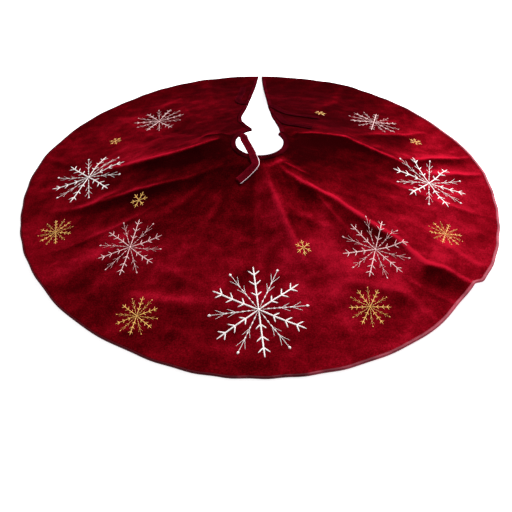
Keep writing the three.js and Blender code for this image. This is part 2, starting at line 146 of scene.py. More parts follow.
# How the hem leaves a true circle, with heights and depths in millimetres. Waves: height, waves in a
# turn and phase. The kinks' height. Swells: bearing, spread in degrees and height. How far the whole
# hem is drawn in. The tuck under one fold: its depth, the bearings where it starts and is full, and
# those where it is last full and ends.
HEM_WAVES = ((2.2, 3, 0.6), (1.6, 7, 2.0), (1.0, 13, 4.0))
HEM_KINK = 0.8
HEM_SWELLS = ((61, 7, 4), (5, 24, -3), (84, 24, 8), (-90, 26, 5))
HEM_DRAWN_IN = 2
HEM_TUCK = (13, 31, 47, 50.9, 53.4)

# Patches where the pile is darker or lighter: partly brushed pile, partly painted light and shade. The
# broad dark patch round the hole and the dark ones towards the back are painted shade. Plan centre and
# reach along x and y, in millimetres, and the change of tone.
BRUSHED_AND_PAINTED_LIGHT = (
    (60, 190, 130, 150, -0.13), (180, 210, 150, 150, -0.12), (200, 500, 260, 140, -0.26),
    (-150, 520, 170, 90, -0.18), (320, 200, 130, 110, -0.10), (110, -60, 110, 60, -0.22),
    (-200, 30, 120, 110, -0.18), (-440, -70, 100, 70, -0.10), (-300, -120, 110, 50, -0.16),
    (-230, 130, 60, 60, -0.08), (-312, -412, 60, 45, -0.19), (0, -290, 30, 60, -0.08),
    (45, -170, 25, 90, 0.04), (0, 300, 60, 200, -0.06), (-300, -285, 70, 40, 0.16),
    (480, -30, 110, 120, 0.16), (500, 210, 60, 60, 0.13), (450, -300, 50, 60, 0.10),
    (430, -190, 60, 70, 0.08), (112, -330, 60, 75, 0.24), (220, -320, 110, 40, 0.10),
    (148, -205, 45, 40, 0.12), (-150, -450, 110, 30, 0.10), (-390, 190, 90, 60, 0.17),
    (-420, 400, 60, 60, 0.05), (-510, -230, 60, 90, 0.10), (-53, -580, 130, 25, -0.10),
    (237, 137, 70, 40, -0.08), (-200, -395, 50, 30, -0.08), (-290, -195, 60, 30, -0.12),
    (450, 100, 60, 40, -0.10), (200, -500, 80, 40, -0.10), (-210, -500, 90, 40, -0.06),
    (230, -375, 60, 25, -0.06), (60, 40, 270, 270, -0.30), (190, -360, 120, 120, 0.12),
)
# The velvet's tone changes by this much on a crest, as a painted highlight, and by this much for a slope
# of one along x and along y, as painted light and shade. It is held within limits.
CREST_HIGHLIGHT = 0.24
SLOPE_LIGHT_AND_SHADE = (0.5, -0.65)
TONE_LIMITS = (-0.42, 0.5)

# Degrees from the outward direction to one of each snowflake's main arms, anticlockwise from above.
FLAKE_TURN = {
    "flake_silver_large_1": 7, "flake_silver_large_2": 12, "flake_silver_large_3": -9,
    "flake_silver_medium_1": 35, "flake_silver_medium_2": 2, "flake_silver_medium_3": -10,
    "flake_silver_medium_4": 37, "flake_gold_medium_1": 21, "flake_gold_medium_2": 18,
    "flake_gold_medium_3": 4, "flake_gold_medium_4": 31, "flake_gold_small_1": 38,
    "flake_gold_small_2": -5, "flake_gold_small_3": 10, "flake_gold_small_4": 10,
    "flake_gold_small_5": 10,
}

# The neck's tie: the bearing of its stitched end, then the plan points of its middle line.
NECK_TIE_BEARING = -121
NECK_TIE_PATH = ((-38, 10), (-25, -28), (-16, -62), (-10, -90), (-28, -113), (-54, -137))
# The slit's ties: body, side of the slit, distance from the axis, and the same plan points.
SLIT_TIES = (
    ("tie_upper_right", 1, 222, ((52, 200), (57, 172), (63, 140), (80, 113), (108, 99), (140, 90))),
    ("tie_lower_right", 1, 300, ((46, 285), (66, 248), (93, 218), (126, 206), (184, 212))),
    ("tie_lower_left", -1, 336, ((-58, 340), (-68, 370), (-64, 410), (-58, 460), (-55, 520))),
)
TIE_WIDTH = 20 * MM
TIE_LENGTH = 190 * MM
TIE_THICKNESS = 1.1 * MM

# The camera: its place in metres, its turn in degrees about x, y and z, and its lens in millimetres.
CAMERA_PLACE = (0.0, -1.1225, 0.8367)
CAMERA_TURN = (45.1, 0, 0.46)
CAMERA_LENS = 36.2
SENSOR_WIDTH = 36


# ---- the draped surface ------------------------------------------------------------------------

def tent_height(r):
    """The bare tent's height over the floor, without folds."""
    out = np.clip((r - HOLE_RADIUS) / (FOOT_RADIUS - HOLE_RADIUS), 0, 1)
    return HEM_TOP + (RIM_TOP - HEM_TOP) * (1 - out) ** TENT_CURVE


def sighted(point):
    """A crest point, in metres, moved along the line of sight from the bare tent to its own height.

    FOLDS gives each crest where it seems to lie on the bare tent from the camera's place.
    """
    x, y, rise = (value * MM for value in point)
    drop = CAMERA_PLACE[2] - float(tent_height(math.hypot(x, y)))
    share = max(rise, 0) / drop
    return x + share * (CAMERA_PLACE[0] - x), y + share * (CAMERA_PLACE[1] - y), rise


def smoothstep(value, low, high):
    t = np.clip((value - low) / (high - low), 0, 1)
    return t * t * (3 - 2 * t)


def fold_shape(x, y, fold):
    """The rise of one fold over the plan, and how strongly the painted highlight on its crest shows at
    each point.

    Where two stretches of the crest line are about as near, they share the point smoothly.
    """
    points, rounding, left, right = fold
    points = [sighted(point) for point in points]
    offs, rises, sides = [], [], []
    for (ax, ay, az), (bx, by, bz) in zip(points, points[1:]):
        dx, dy = bx - ax, by - ay
        share = np.clip(((x - ax) * dx + (y - ay) * dy) / (dx * dx + dy * dy), 0, 1)
        offs.append(np.hypot(x - ax - share * dx, y - ay - share * dy))
        rises.append(az + share * (bz - az))
        sides.append((dx * (y - ay) - dy * (x - ax)) / math.hypot(dx, dy))
    offs = np.array(offs)
    nearest = offs.min(axis=0)
    weights = np.exp(-(offs - nearest) / CREST_BLEND)
    weights /= weights.sum(axis=0)
    rise = (weights * np.array(rises)).sum(axis=0)
    side = (weights * np.array(sides)).sum(axis=0)
    spread = (right + (left - right) * (0.5 + 0.5 * np.tanh(side / CREST_BLEND))) * MM
    rounded = np.hypot(nearest, rounding * MM) - rounding * MM
    crest = np.exp(-(nearest / (CREST_SPREAD * rounding * MM)) ** 2) * rise / CREST_FULL
    return rise * np.exp(-rounded / spread), crest


def ripple(x, y, wavelength, waves, seed):
    """Smooth seeded noise of about one, made of plane waves."""
    rng = np.random.default_rng(seed)
    total = np.zeros(x.shape)
    for _ in range(waves):
        heading = rng.uniform(0, 2 * math.pi)
        length = wavelength * rng.uniform(0.7, 1.5)
        phase = rng.uniform(0, 2 * math.pi)
        along = x * math.cos(heading) + y * math.sin(heading)
        total += np.sin(2 * math.pi * along / length + phase)
    return total / math.sqrt(waves)


def drape(x, y):
    """The velvet's upper face over plan points: its height, its rise over the bare tent, and the painted
    highlight on its crests.

    Folds and waves start a little way from the hole, and they lie lower towards the hem.
    """
    x, y = np.asarray(x, float), np.asarray(y, float)
    r = np.hypot(x, y)
    folds = np.zeros(x.shape)
    crests = np.zeros(x.shape)
    for fold in FOLDS:
        rise, crest = fold_shape(x, y, fold)
        folds += rise
        crests += crest
    waves = sum(
        height * MM * ripple(x, y, length, count, RNG_SEED + k)
        for k, (height, length, count) in enumerate(WAVES)
    )
    off_hole = smoothstep(r, HOLE_RADIUS + 6 * MM, HOLE_RADIUS + 45 * MM)
    off_hem = smoothstep(r, HEM_RADIUS - 4 * MM, HEM_RADIUS - 90 * MM)
    relief = off_hole * (folds * (0.55 + 0.45 * off_hem) + waves * (0.35 + 0.65 * off_hem))
    return np.maximum(tent_height(r) + relief, HEM_TOP + 0.15 * MM), relief, crests


# The drape is worked out once, on a fine square map of the plan, and read from there. The map
# reaches past the hem on every side.
MAP_STEP = 1.6 * MM
MAP_REACH = 625 * MM
MAP_SIDE = 2 * int(MAP_REACH / MAP_STEP) + 1
MAP_AXIS = (np.arange(MAP_SIDE) - MAP_SIDE // 2) * MAP_STEP
MAP_HEIGHT = drape(*np.meshgrid(MAP_AXIS, MAP_AXIS, indexing="ij"))[0]


def top(x, y):
    """The height of the velvet's upper face over plan points, read between the points of the map."""
    u = np.clip((np.asarray(x, float) / MAP_STEP) + MAP_SIDE // 2, 0, MAP_SIDE - 1.001)
    v = np.clip((np.asarray(y, float) / MAP_STEP) + MAP_SIDE // 2, 0, MAP_SIDE - 1.001)
    i, j = u.astype(int), v.astype(int)
    u, v = u - i, v - j
    near = MAP_HEIGHT[i, j] * (1 - v) + MAP_HEIGHT[i, j + 1] * v
    far = MAP_HEIGHT[i + 1, j] * (1 - v) + MAP_HEIGHT[i + 1, j + 1] * v
    return near * (1 - u) + far * u


def at_angle(r, angle):
    """Plan coordinates at a distance from the axis and a bearing in radians."""
    return r * np.sin(angle), -r * np.cos(angle)


def slit_width(table, r):
    """Half of the slit's opening, in metres, on the side that the table is for."""
    radii = [row[0] * MM for row in table]
    widths = [row[1] * MM for row in table]
    return np.interp(r, radii, widths)


def slit_bearings(r):
    """The bearings, in radians, of the slit's left and right folds at a distance from the axis."""
    left = -math.pi + np.arcsin(slit_width(SLIT_LEFT, r) / r)
    right = math.pi - np.arcsin(slit_width(SLIT_RIGHT, r) / r)
    return left, right


def hem_reach(angle):
    """How far the hem stands out at a bearing in radians, as a share of its radius."""
    degrees = np.degrees(angle)
    out = sum(height * np.sin(turns * angle + phase) for height, turns, phase in HEM_WAVES)
    out += HEM_KINK * np.sin(41 * angle + 3 * np.sin(5 * angle))
    out += sum(height * np.exp(-((degrees - at) / spread) ** 2) for at, spread, height in HEM_SWELLS)
    depth, start, full, last_full, end = HEM_TUCK
    out -= depth * smoothstep(degrees, end, last_full) * smoothstep(degrees, start, full)
    return 1 + (out - HEM_DRAWN_IN) * MM / HEM_RADIUS


def wandered(r, angles):
    """The radius r at each bearing, with the hem's wander, which dies away towards the hole."""
    return r * (1 + (r / HEM_RADIUS) ** 3 * (hem_reach(angles) - 1))


def cloth_points(radii, columns, inset):
    """Rows of plan points over the cloth, inset from the slit's folds and ending evenly at both."""
    rows = []
    for r in radii:
        left, right = slit_bearings(r)
        angles = np.linspace(left + inset / r, right - inset / r, columns)
        rows.append(at_angle(wandered(r, angles), angles))
    x, y = zip(*rows)
    return np.array(x), np.array(y)


# ---- mesh helpers ------------------------------------------------------------------------------

def mesh_object(name, points, faces):
    mesh = bpy.data.meshes.new(name)
    mesh.from_pydata([tuple(p) for p in points], [], faces)
    mesh.polygons.foreach_set("use_smooth", [True] * len(mesh.polygons))
    mesh.update()
    piece = bpy.data.objects.new(name, mesh)
    bpy.context.scene.collection.objects.link(piece)
    return piece


def grid_faces(rows, columns):
    faces = []
    for i in range(rows - 1):
        for j in range(columns - 1):
            a, b = i * columns + j, (i + 1) * columns + j
            faces.append((a, b, b + 1, a + 1))
    return faces


def grid_object(name, x, y, z):
    points = np.stack([x.ravel(), y.ravel(), z.ravel()], axis=1)
    return mesh_object(name, points, grid_faces(*x.shape))


def vertex_value(piece, name, values):
    attribute = piece.data.attributes.new(name, "FLOAT", "POINT")
    attribute.data.foreach_set("value", np.asarray(values, np.float32).ravel())


def plan_uv(piece, u, v):
    """Lay a UV map on the piece from one (u, v) for each of its points."""
    layer = piece.data.uv_layers.new(name="UVMap")
    corners = np.empty(len(piece.data.loops), np.int32)
    piece.data.loops.foreach_get("vertex_index", corners)
    spots = np.stack([np.ravel(u), np.ravel(v)], axis=1)[corners]
    layer.data.foreach_set("uv", spots.astype(np.float32).ravel())


def thicken(piece, thickness, offset, even=True):
    """Give a surface its thickness: against its normals for an offset of -1, along them for 1."""
    solid = piece.modifiers.new("thickness", "SOLIDIFY")
    solid.thickness = thickness
    solid.offset = offset
    solid.use_even_offset = even
    return solid


def finish_piece(piece, body, slot, *nodes):
    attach(piece, body)
    if nodes:
        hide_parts(*nodes)
    return piece


# ---- materials ---------------------------------------------------------------------------------

class Nodes:
    """A short way to write a material's node tree."""

    def __init__(self, name):
        self.material = bpy.data.materials.new(name)
        self.material.use_nodes = True
        self.tree = self.material.node_tree
        self.shader = self.tree.nodes["Principled BSDF"]
        self.place = self.add("ShaderNodeTexCoord").outputs["Object"]

    def add(self, kind, **settings):
        node = self.tree.nodes.new(kind)
        for key, value in settings.items():
            setattr(node, key, value)
        return node

    def link(self, source, target):
        self.tree.links.new(source, target)

    def noise(self, scale, detail=3.0, roughness=0.5, vector=None):
        node = self.add("ShaderNodeTexNoise")
        node.inputs["Scale"].default_value = scale
        node.inputs["Detail"].default_value = detail
        node.inputs["Roughness"].default_value = roughness
        self.link(vector or self.place, node.inputs["Vector"])
        return node.outputs["Fac"]

    def stretch(self, scale, vector=None):
        node = self.add("ShaderNodeMapping")
        node.inputs["Scale"].default_value = scale
        self.link(vector or self.place, node.inputs["Vector"])
        return node.outputs["Vector"]

    def ramp(self, factor, *stops):
        node = self.add("ShaderNodeValToRGB")
        while len(node.color_ramp.elements) < len(stops):
            node.color_ramp.elements.new(0.5)
        for element, (at, colour) in zip(node.color_ramp.elements, stops):
            element.position = at
            element.color = (*colour, 1)
        self.link(factor, node.inputs["Fac"])
        return node.outputs["Color"]

    def maths(self, operation, a, b):
        node = self.add("ShaderNodeMath", operation=operation)
        for socket, value in zip(node.inputs, (a, b)):
            if isinstance(value, (int, float)):
                socket.default_value = value
            else:
                self.link(value, socket)
        return node.outputs[0]

    def total(self, start, *terms):
        """start plus each (factor, weight) term."""
        for factor, weight in terms:
            start = self.maths("ADD", self.maths("MULTIPLY", factor, weight), start)
        return start

    def mix(self, factor, a, b):
        node = self.add("ShaderNodeMix", data_type="RGBA")
        for socket, value in zip((node.inputs[0], node.inputs[6], node.inputs[7]), (factor, a, b)):
            if isinstance(value, (int, float)):
                socket.default_value = value
            elif isinstance(value, tuple):
                socket.default_value = (*value, 1)
            else:
                self.link(value, socket)
        return node.outputs[2]

    def uv(self):
        return self.add("ShaderNodeTexCoord").outputs["UV"]

    def value(self, name):
        return self.add("ShaderNodeAttribute", attribute_name=name).outputs["Fac"]

    def bump(self, height, strength, distance, under=None):
        node = self.add("ShaderNodeBump")
        node.inputs["Strength"].default_value = strength
        node.inputs["Distance"].default_value = distance
        self.link(height, node.inputs["Height"])
        if under:
            self.link(under, node.inputs["Normal"])
        self.link(node.outputs["Normal"], self.shader.inputs["Normal"])
        return node.outputs["Normal"]

    def set(self, **values):
        for key, value in values.items():
            self.shader.inputs[key.replace("_", " ")].default_value = value


def velvet_material(name, deep, low, mid, bright, streaked=False):
    """Pile in four tones. Where it is streaked, the streaks run along the piece's UV map."""
    n = Nodes(name)
    streak = n.noise(30, 3, 0.55, n.uv() if streaked else None)
    blotch = n.noise(38, 5, 0.68)
    grain = n.noise(320, 3, 0.7)
    fibre = n.noise(900, 2, 0.7)
    # Each point's tone from the mesh, which holds painted light and shade as well as the pile's own tone.
    tone_and_painted_light = n.value("tone_and_painted_light")
    tone = n.total(-0.325, (streak, 0.32), (blotch, 0.42), (grain, 0.62), (fibre, 0.22), (tone_and_painted_light, 1.0))
    colour = n.ramp(tone, (0.08, deep), (0.3, low), (0.5, mid), (0.82, bright))
    n.link(colour, n.shader.inputs["Base Color"])
    n.set(Roughness=0.95, Specular_IOR_Level=0.0)
    n.set(Sheen_Weight=0.24, Sheen_Roughness=0.3, Sheen_Tint=(0.8, 0.018, 0.06, 1.0))
    soft = n.bump(n.noise(70, 3, 0.6), 0.25, 1.2 * MM)
    n.bump(fibre, 0.5, 0.5 * MM, soft)
    return n.material


def lining_material():
    n = Nodes("lining_cloth")
    weave = n.noise(1400, 2, 0.6, n.stretch((1, 0.25, 1)))
    cloth = n.mix(n.noise(14, 3), (0.60, 0.53, 0.62), (0.76, 0.70, 0.78))
    threads = n.ramp(weave, (0.3, (0.3, 0.25, 0.32)), (0.7, (0.9, 0.86, 0.92)))
    n.link(n.mix(0.12, cloth, threads), n.shader.inputs["Base Color"])
    n.set(Roughness=0.6, Sheen_Weight=0.3, Sheen_Roughness=0.4)
    n.bump(weave, 0.4, 0.3 * MM)
    return n.material


def satin_material(name, dark, light, gloss=0.06):
    n = Nodes(name)
    tone = n.total(0.0, (n.noise(38, 3), 0.7), (n.value("glow"), 0.6))
    n.link(n.ramp(tone, (0.25, dark), (0.85, light)), n.shader.inputs["Base Color"])
    n.set(Roughness=0.5, Specular_IOR_Level=gloss, Sheen_Weight=gloss, Sheen_Roughness=0.3)
    n.set(Sheen_Tint=(1.0, 0.1, 0.2, 1.0))
    pucker = n.bump(n.noise(120, 2), 0.35, 1.0 * MM)
    n.bump(n.noise(1500, 2, 0.6, n.stretch((0.2, 1, 1))), 0.25, 0.2 * MM, pucker)
    return n.material


def thread_material(name, dark, light, roughness):
    n = Nodes(name)
    bands = n.add("ShaderNodeTexWave", wave_type="BANDS", bands_direction="X")
    bands.inputs["Scale"].default_value = 1.0
    bands.inputs["Distortion"].default_value = 0.6
    n.link(n.uv(), bands.inputs["Vector"])
    # The bands paint the sheen of the thread's twist into its colour, lighter and darker along each
    # stitch.
    tone = n.total(0.0, (bands.outputs["Fac"], 0.5), (n.noise(240), 0.6))
    n.link(n.ramp(tone, (0.2, dark), (0.75, light)), n.shader.inputs["Base Color"])
    n.set(Roughness=roughness, Sheen_Weight=0.3, Sheen_Roughness=0.4)
    n.bump(bands.outputs["Fac"], 0.5, 0.3 * MM)
    return n.material


VELVET = velvet_material(
    "velvet", deep=(0.016, 0.0002, 0.0006), low=(0.052, 0.0003, 0.0014), mid=(0.14, 0.0010, 0.0042),
    bright=(0.40, 0.0048, 0.020), streaked=True)
TIE_VELVET = velvet_material(
    "tie_velvet", deep=(0.012, 0.0003, 0.0010), low=(0.034, 0.0006, 0.0022), mid=(0.085, 0.0012, 0.005),
    bright=(0.2, 0.005, 0.015))
LINING = lining_material()
SATIN = satin_material("satin_tape", (0.05, 0.001, 0.004), (0.38, 0.05, 0.08))
# A darker copy of the satin tape for the neck and the slit: painted shade, as they lie in shade.
SHADED_NECK_SATIN = satin_material("neck_tape", (0.012, 0.0002, 0.0008), (0.075, 0.0015, 0.005), gloss=0.0)
RIBBON_BACK = satin_material("ribbon_back", (0.42, 0.22, 0.26), (0.85, 0.70, 0.74))
SILVER = thread_material("silver_thread", (0.80, 0.66, 0.66), (1.0, 0.97, 0.95), 0.42)
ROSE_SILVER = thread_material("rose_silver_thread", (0.60, 0.27, 0.29), (1.0, 0.70, 0.69), 0.45)
GOLD = thread_material("gold_thread", (0.92, 0.40, 0.05), (1.0, 0.62, 0.15), 0.4)


# ---- the cloth ---------------------------------------------------------------------------------

def cloth_radii(first, last, count):
    """Radii from first to last, closer together near the hole."""
    share = np.linspace(0, 1, count)
    return first + (last - first) * (0.25 * share ** 2 + 0.75 * share)


def velvet_tone_and_painted_light(x, y, relief, crests):
    """How much lighter or darker than even the pile is at each point: random tone, brushed pile, and
    painted light and shade.
    """
    step = 2 * MM
    slope_x = (drape(x + step, y)[1] - relief) / step
    slope_y = (drape(x, y + step)[1] - relief) / step
    tone = 0.04 * ripple(x, y, 0.11, 12, RNG_SEED + 5) * ripple(x, y, 0.23, 8, RNG_SEED + 6)
    for at_x, at_y, reach_x, reach_y, change in BRUSHED_AND_PAINTED_LIGHT:
        off_x, off_y = (x / MM - at_x) / reach_x, (y / MM - at_y) / reach_y
        tone += change * np.exp(-off_x ** 2 - off_y ** 2)
    # Painted light and shade: the whole cloth is a little lighter to the right, and darker to the left and
    # the back.
    tone += 0.05 * smoothstep(x, 0.1, 0.5) - 0.06 * smoothstep(x, -0.1, -0.5)
    tone -= 0.14 * smoothstep(y, 0.0, 0.4)
    # A painted highlight along the crests, except where they gather at the hole.
    tone += CREST_HIGHLIGHT * np.clip(crests, 0, 1.5) * smoothstep(np.hypot(x, y), 0.07, 0.13)
    # Painted light and shade: slopes that face left (-x) are lighter, and slopes that face the front (-y)
    # darker.
    tone += SLOPE_LIGHT_AND_SHADE[0] * slope_x + SLOPE_LIGHT_AND_SHADE[1] * slope_y
    return np.clip(tone, *TONE_LIMITS)


def make_velvet():
    inset = 1.5 * MM
    radii = cloth_radii(HOLE_RADIUS + inset, HEM_RADIUS - inset, 125)
    x, y = cloth_points(radii, 620, inset)
    z, relief, crests = drape(x, y)
    piece = grid_object("velvet_cloth", x, y, z)
    vertex_value(piece, "tone_and_painted_light", velvet_tone_and_painted_light(x, y, relief, crests))
    # The map is bearing and radius, so the streaks run outwards.
    streak_scale = 0.3
    plan_uv(piece, np.arctan2(x, -y) * streak_scale, np.hypot(x, y) * streak_scale)
    piece.data.materials.append(VELVET)
    thicken(piece, VELVET_THICKNESS, -1)
    return finish_piece(piece, "skirt", "velvet", *FACE_NODES)


def make_lining():
    inset = 3 * MM
    radii = cloth_radii(HOLE_RADIUS + inset, HEM_RADIUS - inset, 80)
    x, y = cloth_points(radii, 320, inset)
    piece = grid_object("lining_sheet", x, y, top(x, y) - LINING_DROP)
    piece.data.materials.append(LINING)
    thicken(piece, LINING_THICKNESS, -1)
    return finish_piece(piece, "skirt", "lining_cloth", "lining")


# ---- bindings ----------------------------------------------------------------------------------

def run_length(line):
    """The distance along a line of plan points, at each of them."""
    return np.concatenate([[0], np.cumsum(np.hypot(*np.diff(line, axis=0).T))])


def beside(edge, inward, reach):
    """Plan points beside an edge, by a reach that is one number or one for each point."""
    return edge + inward * np.reshape(reach, (-1, 1))


# Over the fold of a tape, from lip to lip: the share of its width, and its upper (1) or lower (-1) side.
TAPE_FOLD = ((1.0, 1), (0.66, 1), (0.33, 1), (0.1, 1), (0.0, 0), (0.1, -1), (0.4, -1), (1.0, -1))


def tape_object(name, edge, inward, band, glow, material, *nodes):
    """Folded tape along an edge: rows follow edge points, columns go over the fold from lip to lip.

    edge and inward are plan arrays of the fold line and the way in over the cloth, band is the tape's
    width and glow is how light the satin is there, which on the hem is painted highlight and painted
    shade.
    """
    along = run_length(edge)
    pucker = 0.30 * MM * np.sin(along / 0.0045) * (0.6 + 0.4 * np.sin(along / 0.031))
    columns = []
    for share, side in TAPE_FOLD:
        reach = share * band
        x, y = beside(edge, inward, reach).T
        # Heights are read a little in from the fold, where there is cloth.
        cloth = top(*beside(edge, inward, np.maximum(reach, 1.6 * MM)).T)
        crown = TAPE_RISE * (1 - 0.45 * share ** 2) + pucker * share * (1 - 0.5 * share)
        height = {1: cloth + crown, 0: cloth - STACK / 2 + 0.6 * MM, -1: cloth - STACK - 0.9 * MM}[side]
        columns.append((x, y, height))
    x, y, z = (np.array(rows).T for rows in zip(*columns))
    piece = grid_object(name, x, y, np.maximum(z, 0.5 * MM))
    vertex_value(piece, "glow", glow[:, None] + 0.12 * np.sin(along[:, None] / 0.011) * np.ones(x.shape))
    piece.data.materials.append(material)
    thicken(piece, TAPE_THICKNESS, 0)
    return finish_piece(piece, "skirt", "satin_tape", *nodes)


def ring_edge(radius, columns, band, outward):
    """The fold line of a ring of tape, the way in over the cloth, and its bearings.

    outward is 1 where the cloth lies outside the ring and -1 where it lies inside. The way in turns a
    little towards both ends, so that the tape's ends follow the slit.
    """
    angles = np.linspace(*slit_bearings(radius), columns)
    reach = wandered(radius, angles)
    edge = np.stack(at_angle(reach, angles), axis=1)
    lip_angles = np.linspace(*slit_bearings(radius + outward * band), columns)
    lip = np.stack(at_angle(reach + outward * band, lip_angles), axis=1)
    return edge, (lip - edge) / band, angles


def slit_edge(side):
    """The slit's fold line on its left (-1) or right (1), and the way in over the cloth."""
    radii = np.linspace(HOLE_RADIUS + NECK_BAND, HEM_RADIUS - HEM_BAND, 180)
    left, right = slit_bearings(radii)
    angles = left if side < 0 else right
    edge = np.stack(at_angle(wandered(radii, angles), angles), axis=1)
    run = np.gradient(edge, axis=0)
    run /= np.hypot(*run.T)[:, None]
    return edge, np.stack([run[:, 1], -run[:, 0]], axis=1) * side


def make_bindings():
    made = []
    edge, inward, angles = ring_edge(HEM_RADIUS, 900, HEM_BAND, -1)
    # The hem's tape shows wider round one bearing, and there its satin gets a painted highlight; elsewhere
    # it is darkened with painted shade.
    lean = 0.5 + 0.5 * np.cos(angles - math.radians(HEM_TAPE_WIDE_LIT_BEARING))
    shown = smoothstep(lean, 0.55, 0.97)
    band = HEM_TAPE_NARROW + (HEM_TAPE_WIDE - HEM_TAPE_NARROW) * shown
    made.append(tape_object("hem_tape", edge, inward, band, 0.97 * shown - 0.35, SATIN, *HEM_NODES))
    made.append(dashes("hem_stitches", beside(edge, inward, band - 1.2 * MM), SATIN))

    dull = 0.3
    in_from_lip = 1.8 * MM
    edge, inward, angles = ring_edge(HOLE_RADIUS, 240, NECK_BAND, 1)
    glow = np.full(len(edge), dull)
    made.append(tape_object("neck_tape", edge, inward, NECK_BAND, glow, SHADED_NECK_SATIN, "neck_binding"))
    made.append(dashes("neck_stitches", beside(edge, inward, NECK_BAND - in_from_lip), SHADED_NECK_SATIN))
    for side, word in ((-1, "left"), (1, "right")):
        edge, inward = slit_edge(side)
        glow = np.full(len(edge), dull)
        node = f"slit_binding_{word}"
        made.append(tape_object(f"slit_tape_{word}", edge, inward, SLIT_BAND, glow, SHADED_NECK_SATIN, node))
        line = beside(edge, inward, SLIT_BAND - in_from_lip)
        made.append(dashes(f"slit_stitches_{word}", line, SHADED_NECK_SATIN))
    return made


# ---- embroidery --------------------------------------------------------------------------------

# A stitch's section: across it, as a share of half its width, and up.
RING = ((-1.0, 0.0), (-0.72, 0.62), (0.0, 0.92), (0.72, 0.62), (1.0, 0.0), (0.0, -0.35))
# Points along a stitch are about this far apart.
STROKE_STEP = 2.6 * MM
# A twist of the thread's sheen repeats over about this length.
THREAD_TWIST = 3.0 * MM
# Stitches through a tape: how far apart they start, and their length and width.
DASH_PITCH = 4.2 * MM
DASH_LENGTH = 2.7 * MM
DASH_WIDTH = 0.8 * MM


def stroke_widths(kind, share):
    """Half the width of a stroke along its length, as a share of its full half width."""
    ends = np.sqrt(np.clip(1 - (2 * share - 1) ** 8, 0, 1))
    if kind == "bead":
        return np.sin(math.pi * np.clip(share, 0.03, 0.97)) ** 0.8
    if kind == "taper":
        return ends * (1 - 0.35 * share)
    return ends


def strokes_object(name, strokes, lift, least_steps=4):
    """Satin stitches: each stroke is a low rounded bar from one plan point to another."""
    points, faces, runs = [], [], []
    for x0, y0, x1, y1, width, kind in strokes:
        length = math.hypot(x1 - x0, y1 - y0)
        count = max(least_steps, int(length / STROKE_STEP)) + 1
        share = np.linspace(0, 1, count)
        x, y = x0 + share * (x1 - x0), y0 + share * (y1 - y0)
        side = np.array([-(y1 - y0), x1 - x0]) / max(length, 1e-6)
        half = width / 2 * np.maximum(stroke_widths(kind, share), 0.06)
        base = len(points)
        for across, up in RING:
            px, py = x + side[0] * across * half, y + side[1] * across * half
            pz = top(px, py) + lift + (0.15 * MM + 0.62 * half) * up
            points.extend(zip(px, py, pz))
            runs.extend(zip(share * length, np.full(count, across * width)))
        rings = len(RING)
        for k in range(rings):
            m = (k + 1) % rings
            for i in range(count - 1):
                a, b = base + k * count + i, base + m * count + i
                faces.append((a, b, b + 1, a + 1))
        faces.append(tuple(base + k * count for k in reversed(range(rings))))
        faces.append(tuple(base + k * count + count - 1 for k in range(rings)))
    piece = mesh_object(name, points, faces)
    plan_uv(piece, *(np.array(runs).T / THREAD_TWIST))
    return piece


def dashes(name, line, material):
    """A row of stitches through a tape: short rounded dashes along a line of plan points."""
    along = run_length(line)
    strokes = []
    for start in np.arange(DASH_PITCH, along[-1] - DASH_PITCH, DASH_PITCH):
        stops = (start, start + DASH_LENGTH)
        x, y = (np.interp(stops, along, line[:, axis]) for axis in (0, 1))
        strokes.append((x[0], y[0], x[1], y[1], DASH_WIDTH, "bar"))
    piece = strokes_object(name, strokes, TAPE_RISE * 0.75, 2)
    piece.data.materials.append(material)
    return finish_piece(piece, "skirt", "satin_tape")


def polar(distance, degrees):
    angle = math.radians(degrees)
    return distance * math.cos(angle), distance * math.sin(angle)


def branch(strokes, start, heading, length, width, kind="taper"):
    dx, dy = polar(length, heading)
    strokes.append((start[0], start[1], start[0] + dx, start[1] + dy, width, kind))


def full_flake(bold):
    """Strokes of a snowflake with arms one unit long: six feathered arms and six beaded ones.

    bold scales the widths of its strokes.
    """
    strokes = []
    for k in range(6):
        heading = 60 * k
        branch(strokes, polar(0.01, heading), heading, 0.99, 0.033 * bold, "bar")
        for at, size in ((0.31, 0.14), (0.56, 0.155), (0.79, 0.155)):
            for turn in (-50, 50):
                branch(strokes, polar(at, heading), heading + turn, size, 0.034 * bold)
        heading += 30
        branch(strokes, polar(0.05, heading), heading, 0.60, 0.009 * bold, "bar")
        for bead in range(5):
            branch(strokes, polar(0.155 + 0.112 * bead, heading), heading, 0.078, 0.030 * bold, "bead")
        for at, size in ((0.44, 0.20), (0.66, 0.22)):
            for turn in (-26, 26):
                branch(strokes, polar(at, heading), heading + turn, size, 0.011 * bold)
        branch(strokes, polar(0.62, heading), heading, 0.33, 0.011 * bold, "bar")
        branch(strokes, polar(0.93, heading), heading, 0.07, 0.056 * bold, "bead")
    branch(strokes, (-0.04, 0), 0, 0.08, 0.07 * bold, "bead")
    return strokes


def small_flake(bold):
    """Strokes of a small snowflake with arms one unit long: six forked arms."""
    strokes = []
    for k in range(6):
        heading = 60 * k
        branch(strokes, (0, 0), heading, 1.0, 0.105 * bold, "bar")
        for turn in (-48, 48):
            branch(strokes, polar(0.52, heading), heading + turn, 0.36, 0.095 * bold)
    return strokes


